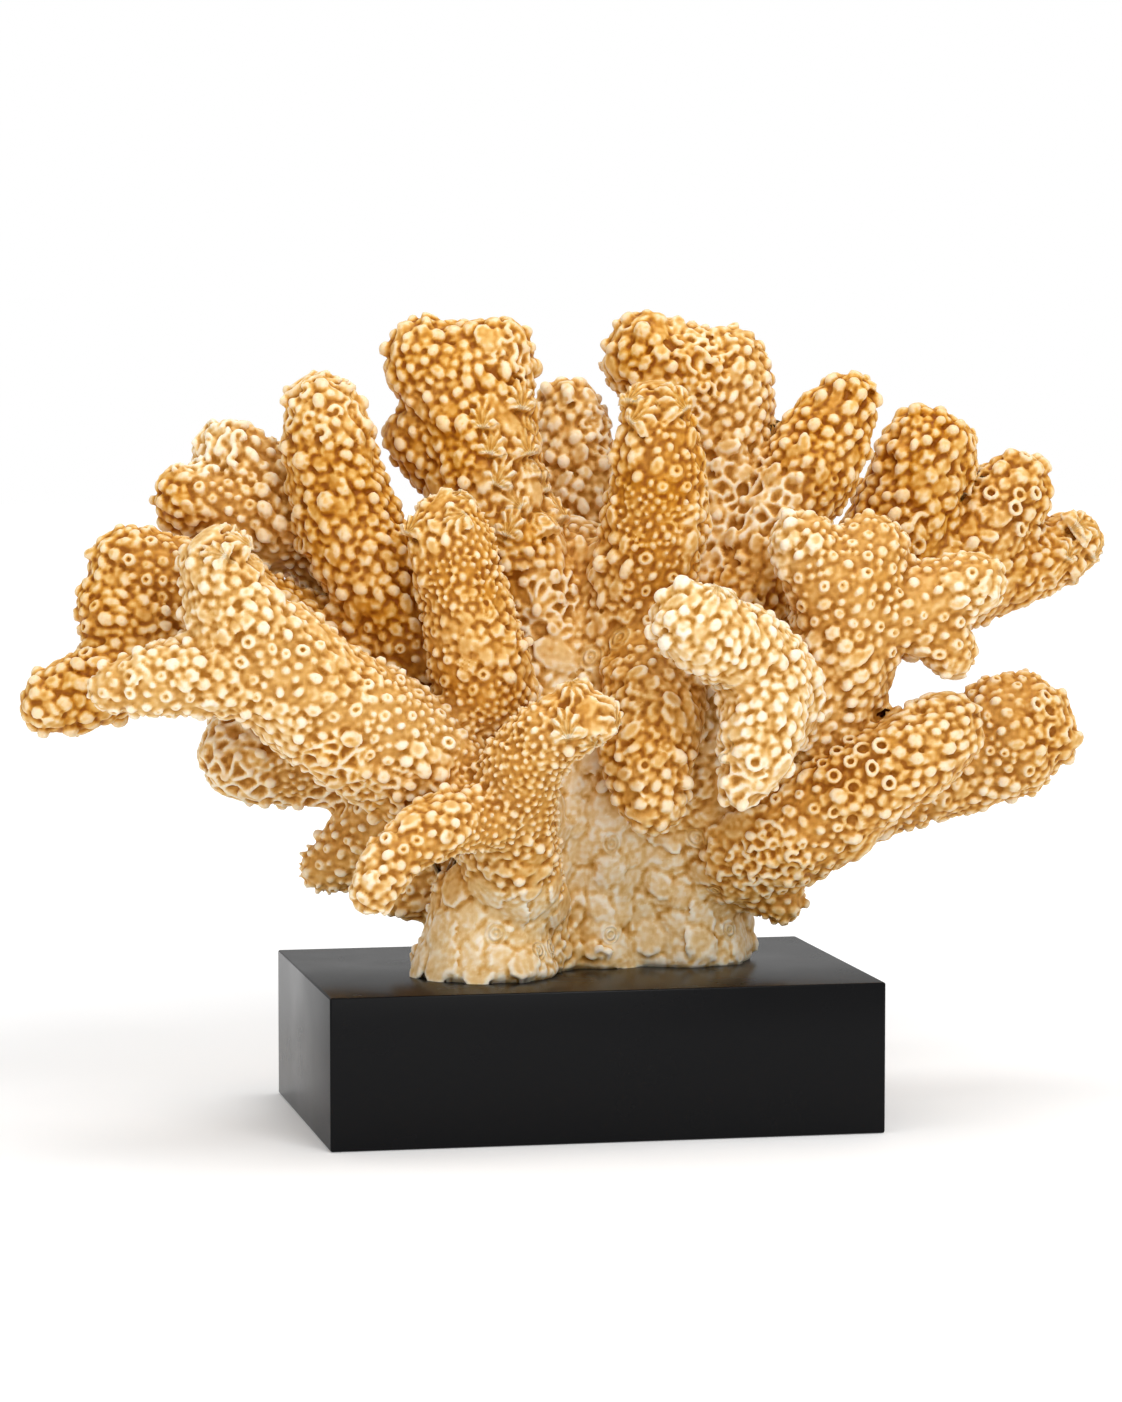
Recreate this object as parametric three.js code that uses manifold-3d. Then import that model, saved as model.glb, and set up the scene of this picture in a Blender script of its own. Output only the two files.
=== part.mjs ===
// Branching coral on a rectangular stand block.
// Millimetres, +Z up. The origin is the centre of the block's underside, and -Y is the front.
import * as THREE from "three";
import { RoundedBoxGeometry } from "three/addons/geometries/RoundedBoxGeometry.js";
import { mergeVertices } from "three/addons/utils/BufferGeometryUtils.js";
import Module from "manifold-3d";

// Driving dimensions.
const blockWidth = 240;
const blockDepth = 156;
const blockHeight = 65;
const blockEdgeRadius = 1.2;
const blockEdgeSegments = 1;
const seam = 0.3; // clearance left wherever two pieces meet
const footSink = 8; // how far the foot's lobes run below the flat cut before it is made
const limbSides = 9; // flats around a limb
const ringSpacing = 16; // distance between a limb's rings, along its route
const capRings = 2; // rings on each rounded end of a limb
const swell = 0.045; // how far a limb's girth wanders from round, as a share of its radius
const swellAcross = { share: 0.6, lobes: 2, twist: 0.045, shift: 1.7 }; // around the limb, turning along it
const swellAlong = { share: 0.4, pitch: 0.11, shift: 2.3 }; // along the limb, in radians a millimetre
const weldDistance = 1e-3; // points closer than this are one
const cutterSize = 500;

const wasm = await Module();
wasm.setup();

const stoneColours = {
  pale: 0xd9c49a,
  honey: 0xd9a552,
  amber: 0xc98f3c,
};

const coralRoughness = 0.55;
const lacquer = { color: 0x0b0b0c, roughness: 0.32, metalness: 0 };

function coralMaterial(colour) {
  return new THREE.MeshStandardMaterial({ color: colour, roughness: coralRoughness, metalness: 0 });
}

function lacquerMaterial() {
  return new THREE.MeshStandardMaterial(lacquer);
}

// The outline of a limb before it is bent: x is the share of the radius, and y runs from -1 to 0 on the
// root's rounded end, from 0 to 1 along the route, and from 1 to 2 on the tip's rounded end.
function limbProfile(length) {
  const points = [];
  const quarter = Math.PI / 2;
  for (let i = 0; i < capRings; i++) {
    const angle = quarter * (1 - i / capRings);
    points.push(new THREE.Vector2(Math.cos(angle), -Math.sin(angle)));
  }
  const rings = Math.round(length / ringSpacing);
  for (let i = 0; i <= rings; i++) {
    points.push(new THREE.Vector2(1, i / rings));
  }
  for (let i = 1; i <= capRings; i++) {
    const angle = (quarter * i) / capRings;
    points.push(new THREE.Vector2(Math.cos(angle), 1 + Math.sin(angle)));
  }
  points[0].x = 0;
  points[points.length - 1].x = 0;
  return points;
}

// A gentle lumpiness, so that no limb is a perfect round bar.
function girth(angle, along, seed) {
  const { lobes, twist } = swellAcross;
  const across = Math.sin(lobes * angle + twist * along + swellAcross.shift * seed);
  const lengthwise = Math.sin(swellAlong.pitch * along + swellAlong.shift * seed);
  return 1 + swell * (swellAcross.share * across + swellAlong.share * lengthwise);
}

// One limb: a lathed bar with round ends, bent along a smooth route.
// Each point of the route is [x, y, height above the block, radius].
function limbGeometry(lobe, extra) {
  const { route, flat = 1 } = lobe;
  const path = new THREE.CatmullRomCurve3(route.map(([x, y, z]) => new THREE.Vector3(x, y, z)));
  const radii = new THREE.SplineCurve(route.map(([, , , r], i) => new THREE.Vector2(i, r)));
  const geometry = new THREE.LatheGeometry(limbProfile(path.getLength()), limbSides);
  const start = path.getTangent(0);
  const side = new THREE.Vector3(0, 1, 0).cross(start).normalize();
  const seed = route[0][0] + route[1][2];
  const position = geometry.getAttribute("position");
  for (let i = 0; i < position.count; i++) {
    const along = position.getY(i);
    const share = THREE.MathUtils.clamp(along, 0, 1);
    const t = path.getUtoTmapping(share);
    const centre = path.getPoint(t);
    const forward = path.getTangent(t);
    const across = side.clone().addScaledVector(forward, -side.dot(forward)).normalize();
    const up = across.clone().cross(forward);
    const radius = radii.getPoint(t).y;
    const angle = Math.atan2(position.getZ(i), position.getX(i));
    const reach = radius * girth(angle, share * path.getLength(), seed) + extra;
    const offset = across.multiplyScalar(position.getX(i) * reach);
    offset.addScaledVector(up, position.getZ(i) * reach);
    offset.addScaledVector(forward, (along - share) * (radius + extra));
    offset.y *= flat;
    centre.add(offset);
    position.setXYZ(i, centre.x, centre.y, centre.z);
  }
  return geometry;
}

function solidOf(geometry) {
  geometry.deleteAttribute("normal");
  geometry.deleteAttribute("uv");
  const merged = mergeVertices(geometry, weldDistance);
  return new wasm.Manifold(
    new wasm.Mesh({
      numProp: 3,
      vertProperties: merged.getAttribute("position").array,
      triVerts: new Uint32Array(merged.index.array),
    }),
  );
}

function meshOf(solid, name, material) {
  const { vertProperties, triVerts } = solid.getMesh();
  const geometry = new THREE.BufferGeometry();
  geometry.setAttribute("position", new THREE.BufferAttribute(vertProperties, 3));
  geometry.setIndex(new THREE.BufferAttribute(triVerts, 1));
  geometry.computeVertexNormals();
  const mesh = new THREE.Mesh(geometry, material);
  mesh.name = name;
  return mesh;
}

// All lobes of one piece in one solid, a little fatter where extra is over 0.
function joinLobes(lobes, extra = 0) {
  return lobes
    .map((lobe) => solidOf(limbGeometry(lobe, extra)))
    .reduce((whole, lobe) => whole.add(lobe));
}

// The coral's pieces, the trunk first. A piece keeps clear of every piece before it.
const pieces = [
  {
    name: "coral_trunk",
    colour: stoneColours.pale,
    lobes: [
      // left, right, middle and back swellings of the foot, running up into the trunk
      {
        route: [
          [-28, 12, -footSink, 38],
          [-29, 12, 25, 34],
          [-26, 12, 65, 37],
          [-20, 14, 105, 38],
          [-10, 16, 138, 32],
        ],
      },
      {
        route: [
          [51, 16, -footSink, 35],
          [50, 15, 22, 31],
          [54, 12, 60, 38],
          [48, 12, 105, 42],
          [36, 16, 140, 34],
        ],
      },
      {
        route: [
          [12, 22, -footSink, 36],
          [12, 24, 35, 38],
          [13, 22, 85, 44],
          [12, 20, 135, 42],
          [8, 20, 165, 28],
        ],
      },
      {
        route: [
          [10, 36, -footSink, 30],
          [12, 38, 45, 33],
          [14, 36, 95, 34],
          [14, 34, 140, 26],
        ],
      },
    ],
  },
  {
    name: "left_paw",
    colour: stoneColours.honey,
    lobes: [
      {
        route: [
          [-30, -16, 70, 24],
          [-59, -34, 84, 27],
          [-94, -48, 106, 27],
          [-125, -56, 126, 26],
          [-150, -60, 149, 23],
          [-162, -62, 166, 19],
          [-164, -62, 177, 15],
        ],
      },
      {
        route: [
          [-138, -58, 138, 21],
          [-168, -63, 136, 19],
          [-193, -67, 132, 14],
          [-209, -69, 130, 9],
        ],
      },
    ],
  },
  {
    name: "rear_left_paw",
    colour: stoneColours.amber,
    lobes: [
      {
        route: [
          [-45, 2, 96, 22],
          [-68, 4, 108, 24],
          [-107, 6, 134, 24],
          [-146, 4, 156, 23],
          [-178, 0, 170, 21],
          [-192, 0, 175, 18],
        ],
      },
      {
        route: [
          [-160, 0, 156, 20],
          [-199, -3, 157, 18],
        ],
      },
      {
        route: [
          [-160, 0, 150, 19],
          [-195, -6, 136, 17],
          [-219, -12, 123, 15],
          [-227, -14, 121, 13],
        ],
      },
    ],
  },
  {
    name: "left_tall_finger",
    colour: stoneColours.amber,
    lobes: [
      {
        route: [
          [-23, 5, 77, 24],
          [-52, 0, 118, 24],
          [-76, -2, 153, 23],
          [-92, -2, 179, 22],
          [-103, 0, 205, 20],
          [-108, 0, 227, 19],
          [-110, 0, 239, 17],
        ],
      },
    ],
  },
  {
    name: "upper_left_branch",
    colour: stoneColours.pale,
    lobes: [
      {
        route: [
          [-54, 28, 133, 22],
          [-85, 32, 168, 24],
          [-115, 34, 196, 23],
          [-137, 34, 216, 19],
          [-145, 34, 222, 15],
        ],
      },
      {
        route: [
          [-125, 30, 192, 22],
          [-151, 28, 202, 18],
          [-164, 26, 204, 15],
        ],
      },
    ],
  },
  {
    name: "centre_left_stub",
    colour: stoneColours.honey,
    lobes: [
      {
        route: [
          [-36, -15, 80, 23],
          [-44, -30, 111, 22],
          [-51, -38, 140, 21],
          [-57, -42, 164, 18],
          [-62, -44, 185, 16],
          [-63, -44, 193, 15],
        ],
      },
    ],
  },
  {
    name: "left_club",
    colour: stoneColours.honey,
    lobes: [
      {
        route: [
          [-9, 8, 138, 25],
          [-22, 10, 169, 25],
          [-34, 12, 200, 25],
          [-40, 14, 223, 24],
          [-38, 14, 245, 22],
          [-33, 14, 265, 17],
        ],
      },
      {
        route: [
          [-44, 16, 240, 22],
          [-47, 17, 260, 19],
        ],
      },
      {
        route: [
          [-40, 16, 243, 20],
          [-58, 20, 257, 19],
          [-62, 20, 264, 17],
        ],
      },
      {
        route: [
          [-45, 18, 214, 17],
          [-61, 22, 226, 15],
          [-64, 22, 230, 14],
        ],
      },
    ],
  },
  {
    name: "back_finger",
    colour: stoneColours.pale,
    lobes: [
      {
        route: [
          [17, 28, 141, 23],
          [15, 42, 171, 20],
          [12, 50, 198, 18],
          [10, 54, 222, 17],
          [9, 55, 240, 15],
        ],
      },
    ],
  },
  {
    name: "centre_finger",
    colour: stoneColours.honey,
    lobes: [
      {
        route: [
          [17, 5, 121, 24],
          [25, -5, 152, 23],
          [30, -12, 178, 22],
          [33, -18, 202, 20],
          [33, -20, 224, 19],
          [31, -20, 238, 16],
        ],
      },
    ],
  },
  {
    name: "right_club",
    colour: stoneColours.honey,
    lobes: [
      {
        route: [
          [57, 22, 132, 25],
          [68, 34, 167, 24],
          [73, 40, 198, 23],
          [75, 42, 224, 22],
          [77, 42, 247, 20],
          [79, 42, 261, 17],
        ],
      },
      {
        route: [
          [64, 42, 240, 22],
          [62, 42, 260, 20],
        ],
      },
      {
        route: [
          [68, 42, 242, 21],
          [48, 42, 261, 21],
          [43, 42, 264, 19],
        ],
      },
    ],
  },
  {
    name: "right_paw",
    colour: stoneColours.pale,
    lobes: [
      {
        route: [
          [80, 6, 60, 24],
          [95, -6, 78, 24],
          [102, -16, 97, 23],
          [109, -26, 124, 24],
          [114, -32, 150, 24],
          [115, -34, 168, 23],
          [123, -34, 180, 18],
        ],
      },
      {
        route: [
          [111, -34, 161, 21],
          [99, -36, 178, 17],
          [95, -36, 184, 14],
        ],
      },
      {
        route: [
          [122, -33, 152, 20],
          [148, -38, 160, 16],
          [169, -42, 169, 13],
        ],
      },
      {
        route: [
          [142, -36, 157, 17],
          [152, -38, 148, 14],
          [159, -38, 140, 12],
        ],
      },
    ],
  },
  {
    name: "slanted_finger",
    colour: stoneColours.amber,
    lobes: [
      {
        route: [
          [73, 14, 141, 21],
          [86, 20, 172, 21],
          [98, 22, 196, 21],
          [112, 24, 218, 20],
          [124, 26, 236, 17],
          [128, 26, 245, 13],
        ],
      },
    ],
  },
  {
    name: "right_knob",
    colour: stoneColours.amber,
    lobes: [
      {
        route: [
          [80, 20, 108, 24],
          [107, 28, 128, 24],
          [131, 36, 152, 22],
          [147, 40, 174, 20],
          [159, 44, 194, 20],
          [168, 46, 210, 21],
          [172, 46, 220, 22],
        ],
      },
    ],
  },
  {
    name: "outer_right_knob",
    colour: stoneColours.honey,
    lobes: [
      {
        route: [
          [138, 36, 150, 20],
          [167, 42, 164, 18],
          [190, 46, 179, 18],
          [207, 48, 194, 18],
          [214, 48, 204, 17],
        ],
      },
    ],
  },
  {
    name: "outer_right_finger",
    colour: stoneColours.amber,
    lobes: [
      {
        route: [
          [158, 40, 148, 18],
          [183, 46, 157, 16],
          [208, 52, 166, 16],
          [229, 56, 174, 15],
          [243, 58, 180, 13],
        ],
      },
    ],
  },
  {
    name: "front_hook",
    colour: stoneColours.pale,
    lobes: [
      {
        route: [
          [84, -8, 101, 18],
          [86, -24, 108, 19],
          [78, -48, 122, 19],
          [60, -72, 141, 17],
          [43, -78, 151, 16],
          [33, -80, 156, 15],
        ],
      },
      {
        route: [
          [69, -66, 129, 17],
          [66, -74, 113, 16],
          [61, -76, 94, 13],
          [58, -76, 86, 10],
        ],
      },
    ],
  },
  {
    name: "front_ridge",
    colour: stoneColours.honey,
    lobes: [
      {
        route: [
          [34, 2, 158, 20],
          [29, -22, 130, 23],
          [25, -40, 100, 21],
          [25, -44, 78, 15],
        ],
      },
    ],
  },
  {
    name: "front_fork",
    colour: stoneColours.honey,
    lobes: [
      {
        route: [
          [-29, -2, 20, 24],
          [-33, -25, 42, 23],
          [-38, -50, 72, 19],
          [-37, -68, 94, 17],
          [-28, -80, 108, 15],
          [-14, -86, 115, 11],
        ],
      },
      {
        route: [
          [-41, -52, 74, 17],
          [-67, -74, 72, 13],
          [-89, -86, 64, 11],
          [-103, -92, 48, 10],
        ],
      },
    ],
  },
  {
    name: "lower_left_finger",
    colour: stoneColours.honey,
    lobes: [
      {
        route: [
          [-40, 8, 70, 24],
          [-70, 12, 68, 24],
          [-84, 17, 60, 19],
          [-96, 22, 48, 14],
          [-105, 26, 43, 12],
        ],
      },
      {
        route: [
          [-53, 10, 51, 17],
          [-71, 14, 31, 11],
        ],
      },
    ],
  },
  {
    name: "lower_left_lump",
    colour: stoneColours.honey,
    lobes: [
      {
        route: [
          [-50, 16, 82, 22],
          [-95, 28, 90, 21],
          [-125, 36, 92, 21],
          [-138, 38, 92, 21],
        ],
      },
    ],
  },
  {
    name: "lower_right_finger",
    colour: stoneColours.honey,
    lobes: [
      {
        route: [
          [58, 0, 46, 22],
          [80, -20, 54, 25],
          [102, -34, 69, 24],
          [126, -44, 86, 20],
          [147, -48, 100, 18],
          [154, -48, 104, 16],
        ],
      },
      {
        route: [
          [72, -8, 44, 18],
          [87, -16, 31, 13],
        ],
      },
    ],
  },
  {
    name: "right_paddle",
    colour: stoneColours.amber,
    lobes: [
      {
        route: [
          [76, 8, 48, 22],
          [98, 14, 56, 20],
          [124, 18, 64, 18],
          [152, 20, 73, 18],
          [179, 22, 83, 21],
          [204, 22, 96, 30],
        ],
        flat: 0.8,
      },
    ],
  },
];

function standBlock() {
  const geometry = new RoundedBoxGeometry(
    blockWidth,
    blockDepth,
    blockHeight,
    blockEdgeSegments,
    blockEdgeRadius,
  );
  const block = meshOf(solidOf(geometry), "stand_block", lacquerMaterial());
  block.position.z = blockHeight / 2;
  return block;
}

function coralPieces() {
  const group = new THREE.Group();
  group.position.z = blockHeight + seam;
  const below = new THREE.BoxGeometry(cutterSize, cutterSize, cutterSize);
  below.translate(0, 0, -cutterSize / 2);
  const belowFoot = solidOf(below);
  const earlier = [];
  for (const { name, colour, lobes } of pieces) {
    let solid = joinLobes(lobes).subtract(belowFoot);
    for (const other of earlier) {
      solid = solid.subtract(other);
    }
    earlier.push(joinLobes(lobes, seam));
    group.add(meshOf(solid, name, coralMaterial(colour)));
  }
  return group;
}

const part = new THREE.Group();
part.add(standBlock(), coralPieces());

export default part;
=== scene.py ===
import math
import bpy
import numpy as np
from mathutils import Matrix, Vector, noise
from mathutils.bvhtree import BVHTree
from mathutils.kdtree import KDTree


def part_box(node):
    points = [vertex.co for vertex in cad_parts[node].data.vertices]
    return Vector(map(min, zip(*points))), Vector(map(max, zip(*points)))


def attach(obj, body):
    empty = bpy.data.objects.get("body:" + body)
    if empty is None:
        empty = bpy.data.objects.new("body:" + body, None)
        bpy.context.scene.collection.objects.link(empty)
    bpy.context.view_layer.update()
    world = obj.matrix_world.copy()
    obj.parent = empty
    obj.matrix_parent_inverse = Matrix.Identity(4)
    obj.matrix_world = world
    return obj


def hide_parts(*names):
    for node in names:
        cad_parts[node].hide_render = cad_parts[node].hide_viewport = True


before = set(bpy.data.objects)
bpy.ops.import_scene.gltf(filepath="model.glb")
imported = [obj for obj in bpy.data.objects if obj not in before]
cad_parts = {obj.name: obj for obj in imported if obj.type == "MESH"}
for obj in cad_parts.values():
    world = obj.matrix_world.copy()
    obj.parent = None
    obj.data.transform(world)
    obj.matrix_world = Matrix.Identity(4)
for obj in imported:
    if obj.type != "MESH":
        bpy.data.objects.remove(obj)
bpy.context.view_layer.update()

mm = 0.001
coralNames = [name for name in sorted(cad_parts) if name != "stand_block"]
trunkLow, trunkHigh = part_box("coral_trunk")
footLow = trunkLow.z  # the sawn underside of the coral
draws = np.random.default_rng(11)


# Small helpers

def pickOnly(ob):
    bpy.ops.object.select_all(action="DESELECT")
    ob.select_set(True)
    bpy.context.view_layer.objects.active = ob


def editAll():
    bpy.ops.object.mode_set(mode="EDIT")
    bpy.ops.mesh.select_all(action="SELECT")


def stopEditing():
    bpy.ops.object.mode_set(mode="OBJECT")


def applyModifier(ob, kind, **settings):
    pickOnly(ob)
    modifier = ob.modifiers.new(kind.title(), kind)
    for key, value in settings.items():
        setattr(modifier, key, value)
    bpy.ops.object.modifier_apply(modifier=modifier.name)


def copyNode(name):
    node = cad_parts[name]
    copy = node.copy()
    copy.data = node.data.copy()
    copy.parent = None
    copy.name = name + "_shape"
    bpy.context.scene.collection.objects.link(copy)
    pickOnly(copy)
    editAll()
    bpy.ops.mesh.remove_doubles(threshold=0.01 * mm)
    stopEditing()
    return copy


def valuesOf(rows, key, count, width, kind):
    found = np.empty(count, kind)
    rows.foreach_get(key, found)
    return found.reshape(-1, width)


def pointsOf(mesh):
    return valuesOf(mesh.vertices, "co", len(mesh.vertices) * 3, 3, np.float32).astype(float)


def normalsOf(mesh):
    return valuesOf(mesh.vertex_normals, "vector", len(mesh.vertices) * 3, 3, np.float32).astype(float)


def edgePairs(mesh):
    return valuesOf(mesh.edges, "vertices", len(mesh.edges) * 2, 2, np.int32)


def quadsOf(mesh):
    return valuesOf(mesh.loops, "vertex_index", len(mesh.loops), 4, np.int32)


def moveTo(mesh, points):
    mesh.vertices.foreach_set("co", points.astype(np.float32).ravel())
    mesh.update()


def unit(vectors):
    return vectors / np.maximum(np.linalg.norm(vectors, axis=-1, keepdims=True), 1e-12)


def spread(values, pairs, rounds, rate=0.5):  # blurs a value over the surface, edge by edge
    count = np.bincount(pairs.ravel(), minlength=len(values))
    for _ in range(rounds):
        total = np.bincount(pairs[:, 0], values[pairs[:, 1]], len(values))
        total += np.bincount(pairs[:, 1], values[pairs[:, 0]], len(values))
        values = values + rate * (total / count - values)
    return values


def ripple(points, size, seed=0.0):  # smooth noise from -1 to 1
    shift = Vector((seed, 2.7 * seed, -1.3 * seed))
    return np.array([noise.noise(Vector(p) / size + shift) for p in points])


def cellGap(points, size):  # 0 on the walls between cells, growing towards their middles
    found = np.empty(len(points))
    for i, p in enumerate(points):
        near = noise.voronoi(Vector(p) / size)[0]
        found[i] = near[1] - near[0]
    return found


def treeOf(points):  # finds the nearest of some points
    tree = KDTree(len(points))
    for number, place in enumerate(points):
        tree.insert(place, number)
    tree.balance()
    return tree


def meshFrom(name, points, corners, sizes):
    mesh = bpy.data.meshes.new(name)
    mesh.vertices.add(len(points))
    mesh.vertices.foreach_set("co", points.astype(np.float32).ravel())
    mesh.loops.add(len(corners))
    mesh.loops.foreach_set("vertex_index", corners.astype(np.int32))
    mesh.polygons.add(len(sizes))
    mesh.polygons.foreach_set("loop_start", np.concatenate([[0], np.cumsum(sizes)[:-1]]).astype(np.int32))
    mesh.polygons.foreach_set("use_smooth", np.ones(len(sizes), bool))
    mesh.update(calc_edges=True)
    return mesh


def addObject(name, mesh):
    ob = bpy.data.objects.new(name, mesh)
    bpy.context.scene.collection.objects.link(ob)
    return ob


def largestPart(ob):
    pickOnly(ob)
    editAll()
    bpy.ops.mesh.separate(type="LOOSE")
    stopEditing()
    parts = sorted(bpy.context.selected_objects, key=lambda part: len(part.data.vertices))
    largest = parts.pop()
    for part in parts:
        bpy.data.objects.remove(part)
    return largest


# The coral's body: the CAD limbs fused into one smooth branching surface

bodyPlan = {
    "overlap": 0.6 * mm,  # closes the seams between the limbs
    "voxel": 1.3 * mm,
    "smoothRounds": 90,
    "lumps": [(24 * mm, 1.7 * mm), (11 * mm, 0.8 * mm)],  # size and height
    "apronPlace": (-42 * mm, -16 * mm),  # the swelling of the foot below the front fork
    "apronWidths": (33 * mm, 19 * mm),  # at the block and at its top
    "apronHeight": 44 * mm,
    "apronOwned": 27 * mm,  # up to here it is the trunk's
}


def footApron():
    x, y = bodyPlan["apronPlace"]
    wide, narrow = bodyPlan["apronWidths"]
    height = bodyPlan["apronHeight"]
    middle = footLow + height / 2
    bpy.ops.object.select_all(action="DESELECT")
    bpy.ops.mesh.primitive_cone_add(vertices=48, radius1=wide, radius2=narrow, depth=height,
                                    location=(x, y, middle))
    apron = bpy.context.object
    bpy.ops.object.transform_apply(location=True, rotation=False, scale=True)
    return apron


def fuseBody():
    copies = [copyNode(name) for name in coralNames]
    for copy in copies:
        applyModifier(copy, "DISPLACE", strength=bodyPlan["overlap"], mid_level=0)
    copies.append(footApron())
    bpy.ops.object.select_all(action="DESELECT")
    for copy in copies:
        copy.select_set(True)
    bpy.context.view_layer.objects.active = copies[0]
    bpy.ops.object.join()
    body = copies[0]
    body.name = "coral_body"
    applyModifier(body, "REMESH", mode="VOXEL", voxel_size=bodyPlan["voxel"])
    return largestPart(body)


def smoothBody(body, pairs):
    rough = pointsOf(body.data)
    applyModifier(body, "SMOOTH", factor=0.5, iterations=bodyPlan["smoothRounds"])
    points = pointsOf(body.data)
    normals = normalsOf(body.data)
    shrunk = ((rough - points) * normals).sum(1)
    shrunk = spread(shrunk, pairs, bodyPlan["smoothRounds"])
    lumps = sum(ripple(points, size) * height for size, height in bodyPlan["lumps"])
    points += normals * (shrunk + lumps)[:, None]
    moveTo(body.data, points)


def nearestLimb(points):  # which CAD limb each point belongs to
    corners, faces, owners = [], [], []
    for index, name in enumerate(coralNames):
        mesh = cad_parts[name].data
        start = len(corners)
        corners += [v.co.copy() for v in mesh.vertices]
        for face in mesh.polygons:
            faces.append([start + v for v in face.vertices])
            owners.append(index)
    tree = BVHTree.FromPolygons(corners, faces)
    return np.array([owners[tree.find_nearest(Vector(p))[2]] for p in points])


def tidyBorders(owner, quads, count, rounds=8):  # each face takes the commonest limb around it
    for _ in range(rounds):
        votes = np.zeros((count, len(coralNames)), np.int16)
        for corner in range(4):
            np.add.at(votes, (quads[:, corner], owner), 1)
        owner = votes[quads].sum(1).argmax(1)
    return owner


body = fuseBody()
pairs = edgePairs(body.data)
smoothBody(body, pairs)
quads = quadsOf(body.data)
smooth = pointsOf(body.data)
smoothNormals = normalsOf(body.data)
owner = nearestLimb(smooth[quads].mean(1))
apronTop = footLow + bodyPlan["apronOwned"]
onApron = (owner == coralNames.index("front_fork")) & (smooth[quads, 2].mean(1) < apronTop)
owner[onApron] = coralNames.index("coral_trunk")
owner = tidyBorders(owner, quads, len(smooth))
print("body", len(smooth), "points")


# Looks by place. Each limb has a paleness and a mix of growths in patches, and a spot sets them near
# one place. A spot's place is in shares of its limb's box: left to right, front to back, bottom to top.

limbLooks = {
    "coral_trunk": (1.0, {"foot": 5, "scales": 1}),
    "left_paw": (0.72, {"rings": 5, "scales": 2, "beads": 1}),
    "rear_left_paw": (0.2, {"beads": 4, "bigBeads": 2, "rings": 1}),
    "left_tall_finger": (0.12, {"bigBeads": 5, "pegs": 2, "beads": 1}),
    "upper_left_branch": (0.5, {"beads": 3, "bigBeads": 1, "rings": 1}),
    "centre_left_stub": (0.25, {"scales": 3, "dots": 2, "beads": 2}),
    "left_club": (0.18, {"bigBeads": 4, "pegs": 3, "scales": 1}),
    "back_finger": (0.58, {"bigBeads": 6, "pegs": 1}),
    "centre_finger": (0.12, {"rings": 5, "dots": 1, "bigBeads": 1}),
    "right_club": (0.28, {"net": 3, "beads": 2, "worms": 1}),
    "right_paw": (0.5, {"rings": 6, "dots": 1}),
    "slanted_finger": (0.14, {"beads": 3, "pegs": 3, "scales": 1}),
    "right_knob": (0.08, {"bigBeads": 3, "beads": 2, "pegs": 1}),
    "outer_right_knob": (0.25, {"cups": 3, "bigBeads": 2, "scales": 1}),
    "outer_right_finger": (0.25, {"scales": 3, "worms": 2, "beads": 1}),
    "front_hook": (0.85, {"bigBeads": 4, "beads": 2, "pegs": 1}),
    "front_ridge": (0.3, {"scales": 3, "worms": 1, "beads": 2}),
    "front_fork": (0.42, {"beads": 2, "dots": 3, "rings": 1}),
    "lower_left_finger": (0.5, {"dots": 3, "rings": 2}),
    "lower_left_lump": (0.45, {"net": 3, "dots": 1}),
    "lower_right_finger": (0.35, {"beads": 4, "rings": 2, "scales": 1}),
    "right_paddle": (0.4, {"rings": 4, "beads": 2}),
}

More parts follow.
